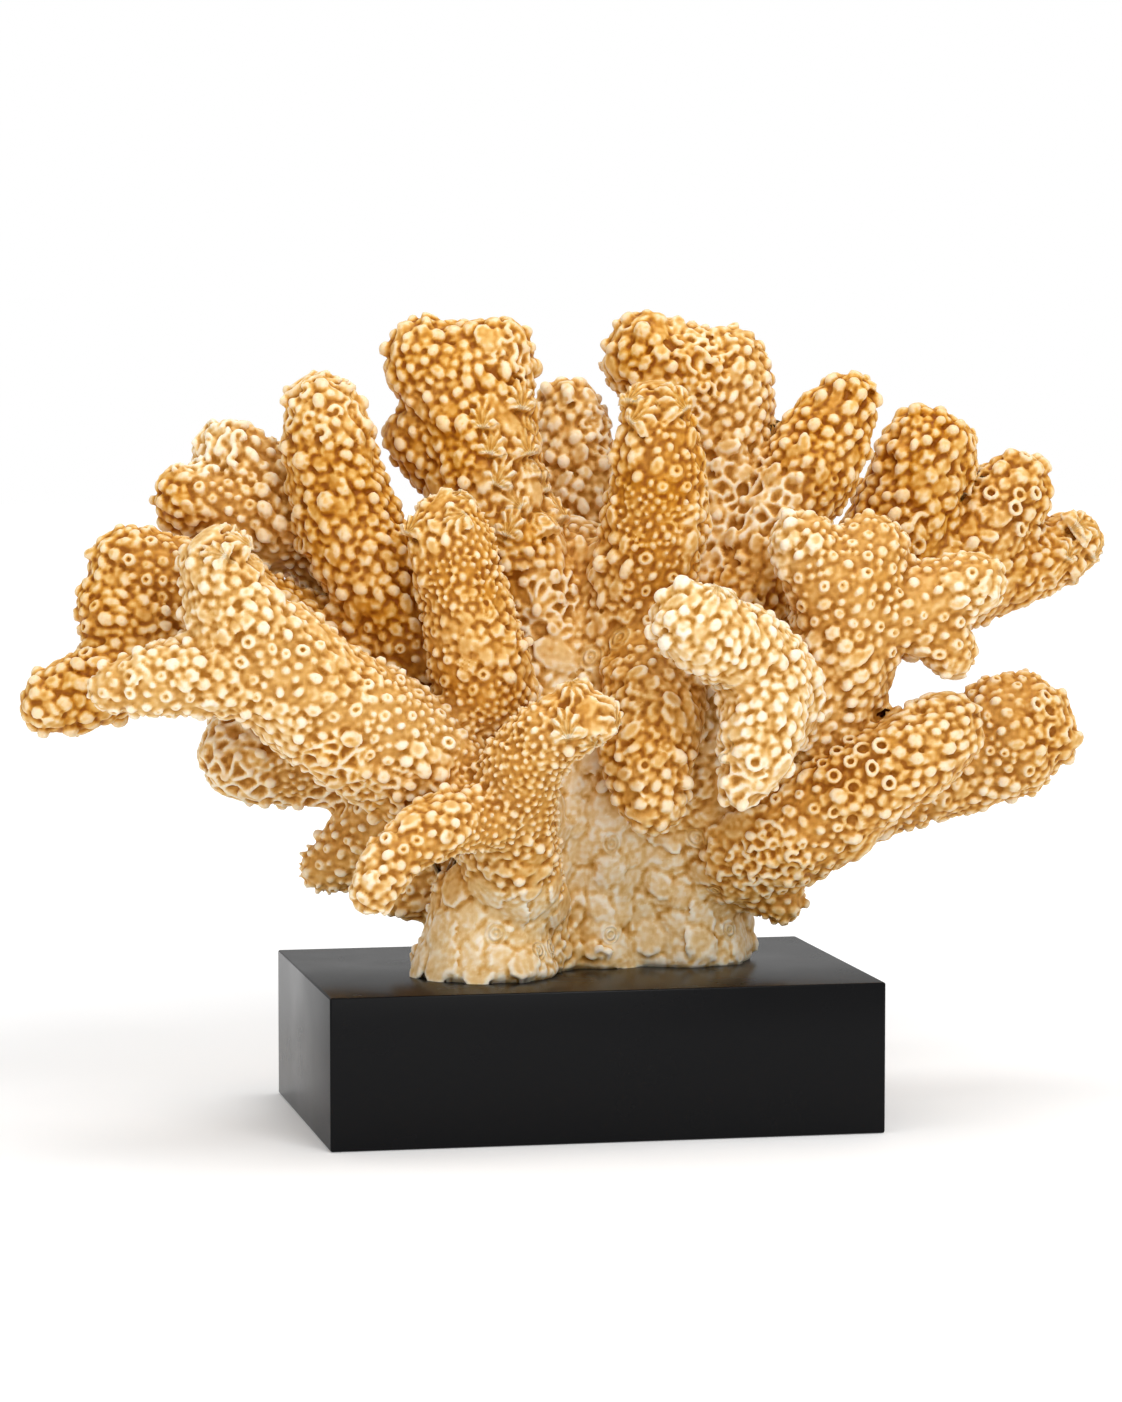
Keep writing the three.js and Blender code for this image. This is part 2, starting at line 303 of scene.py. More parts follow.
spots = [  # limb, place in its box, reach in mm, growth, paleness
    ("left_paw", (0.03, 0.3, 0.38), 24, "dots", 0.95),
    ("left_paw", (0.30, 0.2, 0.97), 13, "fans", 0.45),
    ("left_paw", (0.34, 0.2, 0.74), 15, "bigBeads", 0.7),
    ("left_paw", (0.14, 0.2, 0.45), 26, "rings", 0.95),
    ("left_paw", (0.52, 0.2, 0.66), 18, "scales", 0.55),
    ("left_paw", (0.48, 0.2, 0.36), 17, "net", 0.3),
    ("left_paw", (0.60, 0.3, 0.24), 20, "worms", 0.35),
    ("left_paw", (0.80, 0.5, 0.25), 28, "dots", 0.5),
    ("rear_left_paw", (0.08, 0.5, 0.12), 22, "fans", 0.35),
    ("rear_left_paw", (0.20, 0.5, 0.40), 20, "worms", 0.25),
    ("left_tall_finger", (0.18, 0.5, 0.95), 20, "worms", 0.35),
    ("left_tall_finger", (0.62, 0.3, 0.35), 24, "rings", 0.1),
    ("left_tall_finger", (0.85, 0.3, 0.12), 26, "dots", 0.15),
    ("upper_left_branch", (0.12, 0.4, 0.95), 18, "worms", 0.9),
    ("upper_left_branch", (0.05, 0.4, 0.72), 18, "pegs", 0.1),
    ("centre_left_stub", (0.20, 0.4, 0.95), 15, "fans", 0.3),
    ("centre_left_stub", (0.30, 0.3, 0.70), 17, "dots", 0.28),
    ("left_club", (0.72, 0.2, 0.92), 17, "worms", 0.28),
    ("left_club", (0.60, 0.1, 0.68), 16, "fans", 0.35),
    ("left_club", (0.15, 0.2, 0.62), 20, "pegs", 0.05),
    ("left_club", (0.30, 0.2, 0.35), 22, "bigBeads", 0.08),
    ("left_club", (0.75, 0.2, 0.48), 18, "fans", 0.4),
    ("left_club", (0.90, 0.3, 0.15), 24, "net", 0.45),
    ("back_finger", (0.50, 0.3, 0.10), 20, "net", 0.55),
    ("centre_finger", (0.50, 0.2, 0.96), 12, "fans", 0.35),
    ("centre_finger", (0.20, 0.2, 0.80), 13, "bigBeads", 0.2),
    ("centre_finger", (0.80, 0.3, 0.55), 15, "worms", 0.3),
    ("centre_finger", (0.15, 0.4, 0.40), 16, "bigBeads", 0.3),
    ("right_club", (0.12, 0.4, 0.92), 22, "bigBeads", 0.12),
    ("right_club", (0.50, 0.3, 0.90), 20, "worms", 0.2),
    ("right_club", (0.90, 0.4, 0.97), 15, "scales", 0.4),
    ("right_club", (0.85, 0.4, 0.75), 20, "beads", 0.5),
    ("right_club", (0.72, 0.3, 0.45), 30, "net", 0.5),
    ("right_paw", (0.06, 0.3, 0.92), 19, "pegs", 1.0),
    ("right_paw", (0.86, 0.2, 0.78), 17, "scales", 1.0),
    ("right_paw", (0.76, 0.2, 0.50), 14, "bigBeads", 1.0),
    ("right_paw", (0.20, 0.6, 0.18), 34, "net", 0.3),
    ("slanted_finger", (0.28, 0.4, 0.42), 20, "scales", 0.22),
    ("right_knob", (0.72, 0.2, 0.66), 15, "worms", 0.2),
    ("right_knob", (0.25, 0.3, 0.30), 24, "rings", 0.22),
    ("outer_right_finger", (0.90, 0.4, 0.70), 15, "fans", 0.3),
    ("front_hook", (0.12, 0.2, 0.85), 19, "bigBeads", 1.0),
    ("front_hook", (0.45, 0.2, 0.98), 15, "fans", 0.85),
    ("front_hook", (0.50, 0.2, 0.10), 17, "net", 0.6),
    ("front_ridge", (0.50, 0.1, 0.12), 18, "bigBeads", 0.4),
    ("front_ridge", (0.50, 0.3, 0.80), 20, "rings", 0.28),
    ("front_fork", (0.92, 0.2, 0.95), 18, "fans", 0.4),
    ("front_fork", (0.60, 0.2, 0.75), 18, "dots", 0.38),
    ("front_fork", (0.08, 0.1, 0.32), 20, "scales", 0.6),
    ("front_fork", (0.72, 0.7, 0.08), 30, "foot", 0.85),
    ("front_fork", (0.66, 0.5, 0.36), 17, "scales", 0.5),
    ("lower_right_finger", (0.52, 0.2, 0.66), 18, "cups", 0.35),
    ("lower_right_finger", (0.85, 0.2, 0.90), 22, "beads", 0.4),
    ("lower_right_finger", (0.22, 0.2, 0.22), 24, "worms", 0.28),
    ("right_paddle", (0.92, 0.2, 0.75), 15, "cups", 0.3),
    ("coral_trunk", (0.50, 0.3, 0.85), 32, "scales", 0.45),
    ("coral_trunk", (0.62, 0.0, 0.42), 26, "scales", 0.38),
    ("coral_trunk", (0.25, 0.9, 0.70), 40, "dots", 0.45),
    ("coral_trunk", (0.75, 0.9, 0.70), 40, "beads", 0.3),
    ("coral_trunk", (0.50, 1.0, 0.55), 40, "rings", 0.45),
]

# how each growth covers the body. ground: tone of the skin between, for most growths darker than the tops, as
# painted shade in the valleys. reach: free radius round each in mm.
# fill: how small a gap still takes a little one. lean: tilt towards the tip. touch: how far each swells
# until it meets its neighbours. shapes: name, share, and width, length and height as shares of the reach.
growthPlans = {
    "foot": {"ground": 0.72, "reach": (4.5, 8.0), "fill": 0.9, "lean": 0.05, "touch": 0.9, "shapes": [
        ("slab", 4, 0.95, 1.2, 0.2), ("petal", 2, 0.95, 1.15, 0.24), ("terrace", 1, 0.8, 0.9, 0.2)]},
    "rings": {"ground": 0.42, "reach": (3.0, 4.7), "fill": 0.4, "lean": 0.2, "touch": 0, "shapes": [
        ("polyp", 9, 0.62, 0.68, 0.7), ("bead", 3, 0.5, 0.6, 0.7), ("petal", 1, 0.7, 0.9, 0.6),
        ("slab", 2, 0.66, 0.85, 0.6)]},
    "dots": {"ground": 0.45, "reach": (1.4, 2.3), "fill": 0.6, "lean": 0.35, "touch": 0, "shapes": [
        ("dot", 6, 0.62, 0.7, 1.2), ("bead", 2, 0.75, 0.9, 1.1), ("polyp", 1, 0.85, 0.9, 0.9)]},
    "beads": {"ground": 0.32, "reach": (2.0, 3.1), "fill": 0.62, "lean": 0.35, "touch": 1.12, "shapes": [
        ("bead", 6, 0.98, 1.08, 1.3), ("bead", 3, 0.82, 1.35, 1.2), ("slab", 3, 1.0, 1.2, 1.3),
        ("petal", 2, 1.0, 1.2, 1.2), ("polyp", 1, 1.1, 1.1, 1.0), ("peg", 2, 0.9, 1.0, 1.15)]},
    "bigBeads": {"ground": 0.32, "reach": (2.5, 4.0), "fill": 0.6, "lean": 0.35, "touch": 1.12, "shapes": [
        ("bead", 6, 0.98, 1.08, 1.25), ("bead", 3, 0.84, 1.4, 1.15), ("slab", 3, 1.0, 1.2, 1.2),
        ("petal", 2, 1.0, 1.25, 1.1), ("cup", 0.4, 1.0, 1.05, 0.9), ("peg", 2, 0.92, 1.1, 1.05)]},
    "pegs": {"ground": 0.3, "reach": (2.1, 3.3), "fill": 0.64, "lean": 0.55, "touch": 1.12, "shapes": [
        ("peg", 4, 0.92, 1.1, 1.1), ("bead", 3, 0.95, 1.25, 1.35), ("slab", 3, 1.0, 1.25, 1.3),
        ("petal", 2, 1.0, 1.3, 1.3)]},
    "cups": {"ground": 0.32, "reach": (2.8, 4.2), "fill": 0.55, "lean": 0.3, "touch": 0.95, "shapes": [
        ("cup", 5, 0.98, 1.05, 1.0), ("cell", 2, 1.1, 1.2, 0.8), ("bead", 3, 1.0, 1.1, 0.95)]},
    "scales": {"ground": 0.38, "reach": (2.1, 3.5), "fill": 0.58, "lean": 0.5, "touch": 0.95, "shapes": [
        ("petal", 5, 1.12, 1.3, 1.1), ("slab", 3, 1.0, 1.25, 1.0), ("comb", 1, 1.2, 1.2, 0.9),
        ("flower", 1, 1.2, 1.2, 0.9), ("bead", 2, 0.8, 0.95, 1.2)]},
    "fans": {"ground": 0.38, "reach": (4.0, 6.4), "fill": 0.45, "lean": 0.5, "touch": 0.8, "shapes": [
        ("fan", 7, 1.25, 1.35, 0.8), ("comb", 1, 0.8, 1.0, 0.5), ("terrace", 1, 1.15, 1.15, 0.7),
        ("petal", 2, 1.0, 1.25, 0.7)]},
    "net": {"ground": 0.3, "reach": (4.0, 7.0), "fill": 0.9, "lean": 0.1, "touch": 0, "shapes": [
        ("bead", 2, 0.4, 0.45, 0.4), ("petal", 1, 0.5, 0.6, 0.3)]},
    "worms": {"ground": 0.34, "reach": (2.6, 4.6), "fill": 0.45, "lean": 0.2, "touch": 0.9, "shapes": [
        ("curl", 4, 1.05, 1.1, 1.0), ("wave", 4, 1.15, 1.0, 0.95), ("bead", 3, 0.7, 0.9, 1.1),
        ("petal", 1, 1.0, 1.2, 0.9)]},
}
growthNames = list(growthPlans)
patchSpacing = 27 * mm
patchTries = 8000
patchWander = 8 * mm
spotLimit = 60 * mm  # a spot never reaches further than this
paleBlur = 60  # rounds
paleDrift = 0.14
paleDriftSize = 17 * mm


def placeIn(name, shares):
    low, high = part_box(name)
    return np.array([low[i] + shares[i] * (high[i] - low[i]) for i in range(3)])


def wandering(points, amount):  # the points pushed about by smooth noise
    return points + amount * np.stack([ripple(points, 13 * mm, seed) for seed in (3.1, 5.7, 9.4)], 1)


def patchCentres():  # one growth for each patch, drawn from its limb's own mix
    centres, kinds = np.empty((0, 3)), []
    for number in draws.choice(len(smooth), patchTries, replace=False):
        place = smooth[number]
        if not len(kinds) or np.linalg.norm(centres - place, axis=1).min() > patchSpacing:
            mix = limbLooks[coralNames[cornerLimb[number]]][1]
            share = np.array(list(mix.values()), float)
            kinds.append(growthNames.index(draws.choice(list(mix), p=share / share.sum())))
            centres = np.vstack([centres, place])
    return centres, np.array(kinds)


def looksAt(points, limbs):  # growth and paleness at each point, with spots over patches
    moved = wandering(points, patchWander)
    centres, kinds = patchCentres()
    tree = treeOf(centres)
    growth = kinds[[tree.find(p)[1] for p in moved]]
    pale = np.array([limbLooks[name][0] for name in coralNames])[limbs]
    nearest = np.ones(len(points))
    for name, shares, reach, kind, paleness in spots:
        far = np.linalg.norm(moved - placeIn(name, shares), axis=1) / (reach * mm)
        inside = (far < nearest) & (np.linalg.norm(points - placeIn(name, shares), axis=1) < spotLimit)
        nearest = np.where(inside, far, nearest)
        growth = np.where(inside, growthNames.index(kind), growth)
        pale = np.where(inside, paleness, pale)
    return growth, pale


cornerLimb = np.zeros(len(smooth), int)
cornerLimb[quads] = owner[:, None]
growth, pale = looksAt(smooth, cornerLimb)
pale = spread(pale, pairs, paleBlur)
pale = np.clip(pale + paleDrift * ripple(smooth, paleDriftSize, 4.2), 0, 1)

reliefPlan = {
    "sunk": 0.6 * mm,  # the skin lies this far in, and the growths stand on it
    "clumpHeight": 1.3 * mm,
    "clumpSize": 8 * mm,
    "grainHeight": 0.35 * mm,
    "grainSize": 4.2 * mm,
    "netHeight": 2.6 * mm,
    "netSize": 7.2 * mm,
    "netWall": 0.24,
    "wormHeight": 2.2 * mm,
    "wormSize": 13 * mm,
    "wormBands": 3.4,
    "crackDepth": 1.0 * mm,
    "crackSize": 10 * mm,
    "crackWidth": 0.07,
    "wander": 2.5 * mm,
    "bareShare": 0.7,  # how much of the clumps is left out where the skin shows
    "mottle": 0.1,
    "mottleSize": 3 * mm,
    "wallTone": 0.6,
    "ridgeTone": 0.55,
    "crackTone": 0.45,
    "rimHeight": 6 * mm,  # the relief fades out at the block
    "rimStart": 0.2,
}


def coverOf(kind):  # 1 where this growth is, fading over a few millimetres
    return spread((growth == growthNames.index(kind)).astype(float), pairs, 6)


def relief():  # the skin's own height and tone, between and under the growths
    plan = reliefPlan
    moved = wandering(smooth, plan["wander"])
    rise = ripple(smooth, plan["grainSize"], 1.9) * plan["grainHeight"]
    bare = coverOf("foot") + coverOf("rings") + coverOf("dots")
    clumps = ripple(smooth, plan["clumpSize"], 2.6) * plan["clumpHeight"] - plan["sunk"]
    rise += clumps * (1 - plan["bareShare"] * bare)
    tone = np.array([growthPlans[name]["ground"] for name in growthNames])[growth]
    tone = spread(tone, pairs, 6) + plan["mottle"] * ripple(smooth, plan["mottleSize"], 8.8)
    wall = np.exp(-((cellGap(moved, plan["netSize"]) / plan["netWall"]) ** 2)) * coverOf("net")
    band = np.cos(2 * math.pi * plan["wormBands"] * ripple(moved, plan["wormSize"], 6.6))
    ridge = (0.5 + 0.5 * band) * coverOf("worms")
    crack = np.exp(-((cellGap(moved, plan["crackSize"]) / plan["crackWidth"]) ** 2)) * coverOf("foot")
    rise += wall * plan["netHeight"] + ridge * plan["wormHeight"] - crack * plan["crackDepth"]
    tone += plan["wallTone"] * wall + plan["ridgeTone"] * ridge - plan["crackTone"] * crack
    aboveBlock = (smooth[:, 2] - smooth[:, 2].min()) / plan["rimHeight"]
    return rise * np.clip(aboveBlock - plan["rimStart"], 0, 1), np.clip(tone, 0, 1)


rise, skinTone = relief()
skin = smooth + smoothNormals * rise[:, None]
moveTo(body.data, skin)
print("skin shaped")


# The growths: each is modelled once, about 2 wide, and copied over the body

profiles = {  # radius and height of each ring, bottom first, and the height of the middle
    "bead": ([(1.36, -0.3), (1.08, 0.1), (1.0, 0.5), (0.76, 0.84), (0.36, 1.0)], 1.04),
    "dot": ([(1.5, -0.3), (0.95, 0.2), (0.62, 0.8)], 1.0),
    "peg": ([(1.25, -0.3), (0.96, 0.2), (0.9, 0.8), (0.8, 1.25), (0.42, 1.55)], 1.6),
    "slab": ([(1.3, -0.3), (1.08, 0.12), (0.98, 0.5), (0.72, 0.72)], 0.76),
    "polyp": ([(1.55, -0.3), (1.08, 0.2), (0.92, 0.66), (0.68, 0.8), (0.42, 0.66), (0.3, 0.2)], 0.25),
    "cup": ([(1.3, -0.35), (0.95, 0.25), (0.98, 0.85), (0.76, 1.05), (0.52, 0.9), (0.4, 0.3)], 0.3),
    "cell": ([(1.3, -0.3), (1.02, 0.4), (0.86, 0.66), (0.66, 0.58), (0.54, -0.1)], -0.1),
    "flower": ([(1.25, -0.3), (1.04, 0.3), (0.8, 0.62), (0.42, 0.4), (0.3, 0.62)], 0.74),
    "terrace": ([(1.2, -0.3), (1.02, 0.35), (0.84, 0.3), (0.76, 0.6), (0.56, 0.54), (0.46, 0.82)], 0.8),
}


def turned(kind, sides):  # a round growth, extruded ring by ring
    rings, middle = profiles[kind]
    radius, height = rings[0]
    bpy.ops.object.select_all(action="DESELECT")
    bpy.ops.mesh.primitive_circle_add(vertices=sides, radius=radius, fill_type="NGON",
                                      location=(0, 0, height))
    ob = bpy.context.object
    bpy.ops.object.transform_apply(location=True, rotation=False, scale=False)
    editAll()
    for nextRadius, nextHeight in rings[1:]:
        shrink = nextRadius / radius
        bpy.ops.mesh.extrude_region_move(TRANSFORM_OT_translate={"value": (0, 0, nextHeight - height)})
        bpy.ops.transform.resize(value=(shrink, shrink, 1), center_override=(0, 0, nextHeight))
        radius, height = nextRadius, nextHeight
    bpy.ops.mesh.poke()
    bpy.ops.mesh.select_all(action="SELECT")
    bpy.ops.mesh.normals_make_consistent(inside=False)
    stopEditing()
    ob.data.vertices[-1].co.z = middle
    return ob


def flowerShape():
    ob = turned("flower", 15)
    for v in ob.data.vertices:
        petal = 1 + 0.17 * math.cos(5 * math.atan2(v.co.y, v.co.x))
        v.co.x *= petal
        v.co.y *= petal
    return ob


def halved(ob, tilt):  # keeps the far half, its middle at the near edge, and lifts the rim
    pickOnly(ob)
    editAll()
    bpy.ops.mesh.bisect(plane_co=(0, -0.25, 0), plane_no=(0, -1, 0), use_fill=True, clear_outer=True)
    stopEditing()
    for v in ob.data.vertices:
        v.co.y = (v.co.y - 0.4) * 1.35
        if v.co.z > 0:
            v.co.z += tilt * (v.co.y + 0.6)
    return ob


def fanShape():  # a ribbed half shell
    ob = turned("slab", 20)
    for v in ob.data.vertices:
        rib = 0.5 + 0.5 * math.cos(10 * math.atan2(v.co.y, v.co.x))
        v.co.x *= 0.86 + 0.16 * rib
        v.co.y *= 0.86 + 0.16 * rib
        if v.co.z > 0:
            v.co.z += 0.6 * rib * min(math.hypot(v.co.x, v.co.y), 0.9) - 0.2
    return halved(ob, 0.32)


def combShape():  # a block of parallel ribs
    bpy.ops.object.select_all(action="DESELECT")
    bpy.ops.mesh.primitive_grid_add(x_subdivisions=8, y_subdivisions=2, size=2)
    ob = bpy.context.object
    editAll()
    bpy.ops.mesh.extrude_region_move(TRANSFORM_OT_translate={"value": (0, 0, 0.5)})
    bpy.ops.mesh.select_all(action="SELECT")
    bpy.ops.mesh.normals_make_consistent(inside=False)
    stopEditing()
    for v in ob.data.vertices:
        if v.co.z > 0.25:
            v.co.z += 0.45 * (round((v.co.x + 1) * 4) % 2) - 0.2 * abs(v.co.x) + 0.15 * v.co.y
            v.co.x *= 0.86
            v.co.y *= 0.82
        else:
            v.co.z -= 0.3
            v.co.x *= 1.08
            v.co.y *= 1.08
    return ob


def curlShape():  # a bent ridge
    bpy.ops.object.select_all(action="DESELECT")
    bpy.ops.mesh.primitive_torus_add(major_segments=14, minor_segments=7, major_radius=0.68,
                                     minor_radius=0.38)
    ob = bpy.context.object
    editAll()
    bpy.ops.mesh.bisect(plane_co=(0, -0.25, 0), plane_no=(0.3, -1, 0), use_fill=True, clear_outer=True)
    stopEditing()
    for v in ob.data.vertices:
        v.co.y -= 0.2
        v.co.z = v.co.z * 1.5 + 0.15
    return ob


def waveShape():  # an S-shaped ridge
    bpy.ops.object.select_all(action="DESELECT")
    bpy.ops.curve.primitive_bezier_curve_add(radius=1)
    ob = bpy.context.object
    curve = ob.data
    curve.dimensions = "3D"
    curve.resolution_u = 9
    curve.bevel_depth = 0.36
    curve.bevel_resolution = 1
    curve.use_fill_caps = True
    first, last = curve.splines[0].bezier_points
    first.co, first.handle_right = (-1.2, -0.3, 0), (-0.2, 1.7, 0)
    last.co, last.handle_left = (1.2, 0.3, 0), (0.2, -1.7, 0)
    bpy.ops.object.convert(target="MESH")
    ob = bpy.context.object
    for v in ob.data.vertices:
        v.co.z = v.co.z * 1.5 + 0.15
    return ob


def petalShape():  # a scale that stands up at its far edge
    ob = turned("slab", 8)
    for v in ob.data.vertices:
        if v.co.z > 0:
            v.co.z += 0.5 * (v.co.y + 0.35)
            v.co.y += 0.3 * v.co.z
    return ob


shapes = {
    "bead": turned("bead", 8),
    "dot": turned("dot", 6),
    "peg": turned("peg", 8),
    "slab": turned("slab", 6),
    "polyp": turned("polyp", 9),
    "cup": turned("cup", 9),
    "cell": turned("cell", 8),
    "petal": petalShape(),
    "flower": flowerShape(),
    "terrace": halved(turned("terrace", 18), 0.25),
    "fan": fanShape(),
    "comb": combShape(),
    "curl": curlShape(),
    "wave": waveShape(),
}


def shapeArrays(ob):
    corners = np.array([v for face in ob.data.polygons for v in face.vertices])
    sizes = np.array([len(face.vertices) for face in ob.data.polygons])
    return {"points": pointsOf(ob.data), "corners": corners, "sizes": sizes}


library = {name: shapeArrays(ob) for name, ob in shapes.items()}
for ob in shapes.values():
    bpy.data.objects.remove(ob)
print("growths", {name: len(found["sizes"]) for name, found in library.items()})


def candidates(count):  # random places on the body, as face and corner weights
    a, b, c, d = (skin[quads[:, i]] for i in range(4))
    area = np.linalg.norm(np.cross(c - a, d - b), axis=1)
    picked = draws.choice(len(quads), count, p=area / area.sum())
    u, v = draws.random(count), draws.random(count)
    return picked, np.stack([(1 - u) * (1 - v), u * (1 - v), u * v, (1 - u) * v], 1)


def blendCorners(values, picked, weights):
    corner = values[quads[picked]]
    if corner.ndim == 3:
        return (corner * weights[:, :, None]).sum(1)
    return (corner * weights).sum(1)


packPlan = {
    "rounds": [(0.94, 50000), (0.8, 70000), (0.66, 80000), (0.0, 90000)],  # least share of full size, tries
    "snug": 1.12,
    "neighbours": 5,  # a swelling growth reaches half way to these
    "mostSwell": 1.6,
    "cell": 9 * mm,
    "bareRim": 5.5 * mm,  # nothing grows this close to the block
}


def pack(places, most, least, taken):  # keeps each place with room for it, and gives its radius
    cell, snug = packPlan["cell"], packPlan["snug"]
    kept, radii = [], []
    near = [(dx, dy, dz) for dx in (-1, 0, 1) for dy in (-1, 0, 1) for dz in (-1, 0, 1)]
    for i, (x, y, z) in enumerate(places.tolist()):
        kx, ky, kz = math.floor(x / cell), math.floor(y / cell), math.floor(z / cell)
        room = most[i]
        for dx, dy, dz in near:
            for ox, oy, oz, other in taken.get((kx + dx, ky + dy, kz + dz), ()):
                gap = math.sqrt((x - ox) ** 2 + (y - oy) ** 2 + (z - oz) ** 2) - other
                if gap < room:
                    room = gap
            if room < least[i]:
                break
        if room >= least[i]:
            kept.append(i)
            radii.append(min(most[i], room * snug))
            taken.setdefault((kx, ky, kz), []).append((x, y, z, room))
    return np.array(kept, int), np.array(radii)


def scatter():  # place, free radius and growth of everything on the body
    taken = {}
    found = []
    low = footLow + packPlan["bareRim"]
    reach = np.array([growthPlans[name]["reach"] for name in growthNames]) * mm
    fill = np.array([growthPlans[name]["fill"] for name in growthNames])
    for share, count in packPlan["rounds"]:
        picked, weights = candidates(count)
        places = blendCorners(skin, picked, weights)
        kinds = growth[quads[picked][:, 0]]
        most = draws.uniform(reach[kinds, 0], reach[kinds, 1])
        if share:
            least = most * np.maximum(share, fill[kinds])
        else:
            most, least = reach[kinds, 0], reach[kinds, 0] * fill[kinds]
        order = np.nonzero(places[:, 2] > low)[0]
        order = order[np.argsort(-reach[kinds[order], 1], kind="stable")]  # the widest growths choose first
        kept, radii = pack(places[order], most[order].tolist(), least[order].tolist(), taken)
        kept = order[kept]
        found.append((picked[kept], weights[kept], places[kept], kinds[kept], radii))
        print("packed", share, len(kept))
    return [np.concatenate(part) for part in zip(*found)]


def swollen(places, kinds, radii):  # each growth widened towards its nearest neighbours
    tree = treeOf(places)
    count = packPlan["neighbours"] + 1
    far = np.array([sum(found[2] for found in tree.find_n(p, count)) for p in places.tolist()])
    touch = np.array([growthPlans[name]["touch"] for name in growthNames])[kinds]
    wanted = far / packPlan["neighbours"] / 2 * touch
    return np.clip(wanted, radii, radii * packPlan["mostSwell"])


coreHeight = 70 * mm  # the limbs spread from this far above the underside
core = np.array([(trunkLow.x + trunkHigh.x) / 2, (trunkLow.y + trunkHigh.y) / 2, footLow + coreHeight])


def axesAt(places, normals, lean, twist):  # each growth's own side, along and up, leaning to the tip
    outward = unit(places - core)
    flow = unit(outward - normals * (outward * normals).sum(1)[:, None])
    up = unit(normals + flow * lean[:, None])
    along = unit(flow - up * (flow * up).sum(1)[:, None])
    side = np.cross(along, up)
    cosine, sine = np.cos(twist)[:, None], np.sin(twist)[:, None]
    return side * cosine - along * sine, side * sine + along * cosine, up


anyWay = ("curl", "wave", "cell", "cup", "polyp", "flower")  # shapes that may face any way
varyPlan = {  # how unlike each other the growths of one kind are
    "twist": 0.4,
    "lean": (0.3, 1.5),
    "width": (0.9, 1.08),
    "length": (0.92, 1.12),
    "height": (0.75, 1.25),
    "smallBelow": 0.85,  # share of the least size, below which a bead or a dot stands in
    "smallSize": (0.9, 0.95, 1.0),
}


def growthRows():  # for each shape: place, axes and size
    picked, weights, places, kinds, radii = scatter()
    normals = unit(blendCorners(smoothNormals, picked, weights))
    swell = swollen(places, kinds, radii) / radii
    found = {name: [] for name in library}
    for index, name in enumerate(growthNames):
        plan = growthPlans[name]
        mine = np.nonzero(kinds == index)[0]
        share = np.array([row[1] for row in plan["shapes"]], float)
        chosen = draws.choice(len(share), len(mine), p=share / share.sum())
        small = radii[mine] < plan["reach"][0] * mm * varyPlan["smallBelow"]
        for number, (shape, _, wide, deep, tall) in enumerate(plan["shapes"]):
            for asBead in (False, True):
                these = mine[(chosen == number) & (small == asBead)]
                if not len(these):
                    continue
                shown = "dot" if asBead and name in ("dots", "rings", "fans") else "bead" if asBead else shape
                width, length, height = varyPlan["smallSize"] if asBead else (wide, deep, tall)
                count = len(these)
                spin = draws.normal(0, varyPlan["twist"], count)
                if shown in anyWay:
                    spin = draws.uniform(0, 2 * math.pi, count)
                lean = plan["lean"] * draws.uniform(*varyPlan["lean"], count)
                side, along, up = axesAt(places[these], normals[these], lean, spin)
                widths = width * draws.uniform(*varyPlan["width"], count) * swell[these]
                lengths = length * draws.uniform(*varyPlan["length"], count) * swell[these]
                heights = height * draws.uniform(*varyPlan["height"], count)
                size = radii[these][:, None] * np.stack([widths, lengths, heights], 1)
                found[shown].append((places[these], side, along, up, size))
    return {name: [np.concatenate(part) for part in zip(*made)] for name, made in found.items() if made}


rows = growthRows()
print("placed", {name: len(found[0]) for name, found in rows.items()})


# Skin and growths are fused into one coat, and its height and hollows set the tone, with painted shade in
# hollows and creases and painted highlight on tops and rims

coatPlan = {
    "voxel": 0.88 * mm,
    "smoothRounds": 1,
    "roughHeight": 0.2 * mm,
    "roughSize": 2.6 * mm,
    "relax": 8,  # rounds of smoothing that the relief is measured against
    "crispen": 0.45,  # share of that relief added again
    "crispenLimit": 0.5 * mm,
    "hollow": 0.07 * mm,  # how far a point lies below its neighbours in a deep crease
    # painted shade darkens the tone in fine creases, and painted highlight lightens convex rims
    "fineCreasePaintedShade": 0.26,
    "rimPaintedHighlight": 0.3,
    "crease": 0.8 * mm,  # how far it lies below the relaxed coat in one
    # painted shade where the coat lies below its relaxed surface, and a little painted highlight where it
    # stands above
    "reliefPaintedShadeAndLight": 0.16,
    # the tone moves from the ground tone towards the tone below with height above the body: painted shade low
    # in the valleys, painted highlight on the tops
    "top": 3.0 * mm,
    "paintedTopTone": 0.54,
    "paleLift": 0.12,  # how much lighter the palest places are
    "paleMiddle": 0.4,
}


def fuseCoat():
    points, corners, sizes = [skin], [quads.ravel()], [np.full(len(quads), 4)]
    count = len(skin)
    for shape, (places, side, along, up, size) in rows.items():
        pattern = library[shape]
        scaled = pattern["points"][None] * size[:, None, :]
        made = places[:, None] + scaled[..., :1] * side[:, None]
        made += scaled[..., 1:2] * along[:, None] + scaled[..., 2:] * up[:, None]
        each = len(pattern["points"])
        starts = count + each * np.arange(len(places))
        points.append(made.reshape(-1, 3))
        corners.append((pattern["corners"][None] + starts[:, None]).ravel())
        sizes.append(np.tile(pattern["sizes"], len(places)))
        count += each * len(places)
    mesh = meshFrom("coat", np.concatenate(points), np.concatenate(corners), np.concatenate(sizes))
    coat = addObject("coat", mesh)
    applyModifier(coat, "REMESH", mode="VOXEL", voxel_size=coatPlan["voxel"])
    coat = largestPart(coat)
    applyModifier(coat, "SMOOTH", factor=0.5, iterations=coatPlan["smoothRounds"])
    return coat


def neighbourMean(points, pairs):
    count = np.bincount(pairs.ravel(), minlength=len(points))
    total = np.stack([np.bincount(pairs[:, 0], points[pairs[:, 1], axis], len(points))
                      + np.bincount(pairs[:, 1], points[pairs[:, 0], axis], len(points))
                      for axis in range(3)], 1)
    return total / count[:, None]


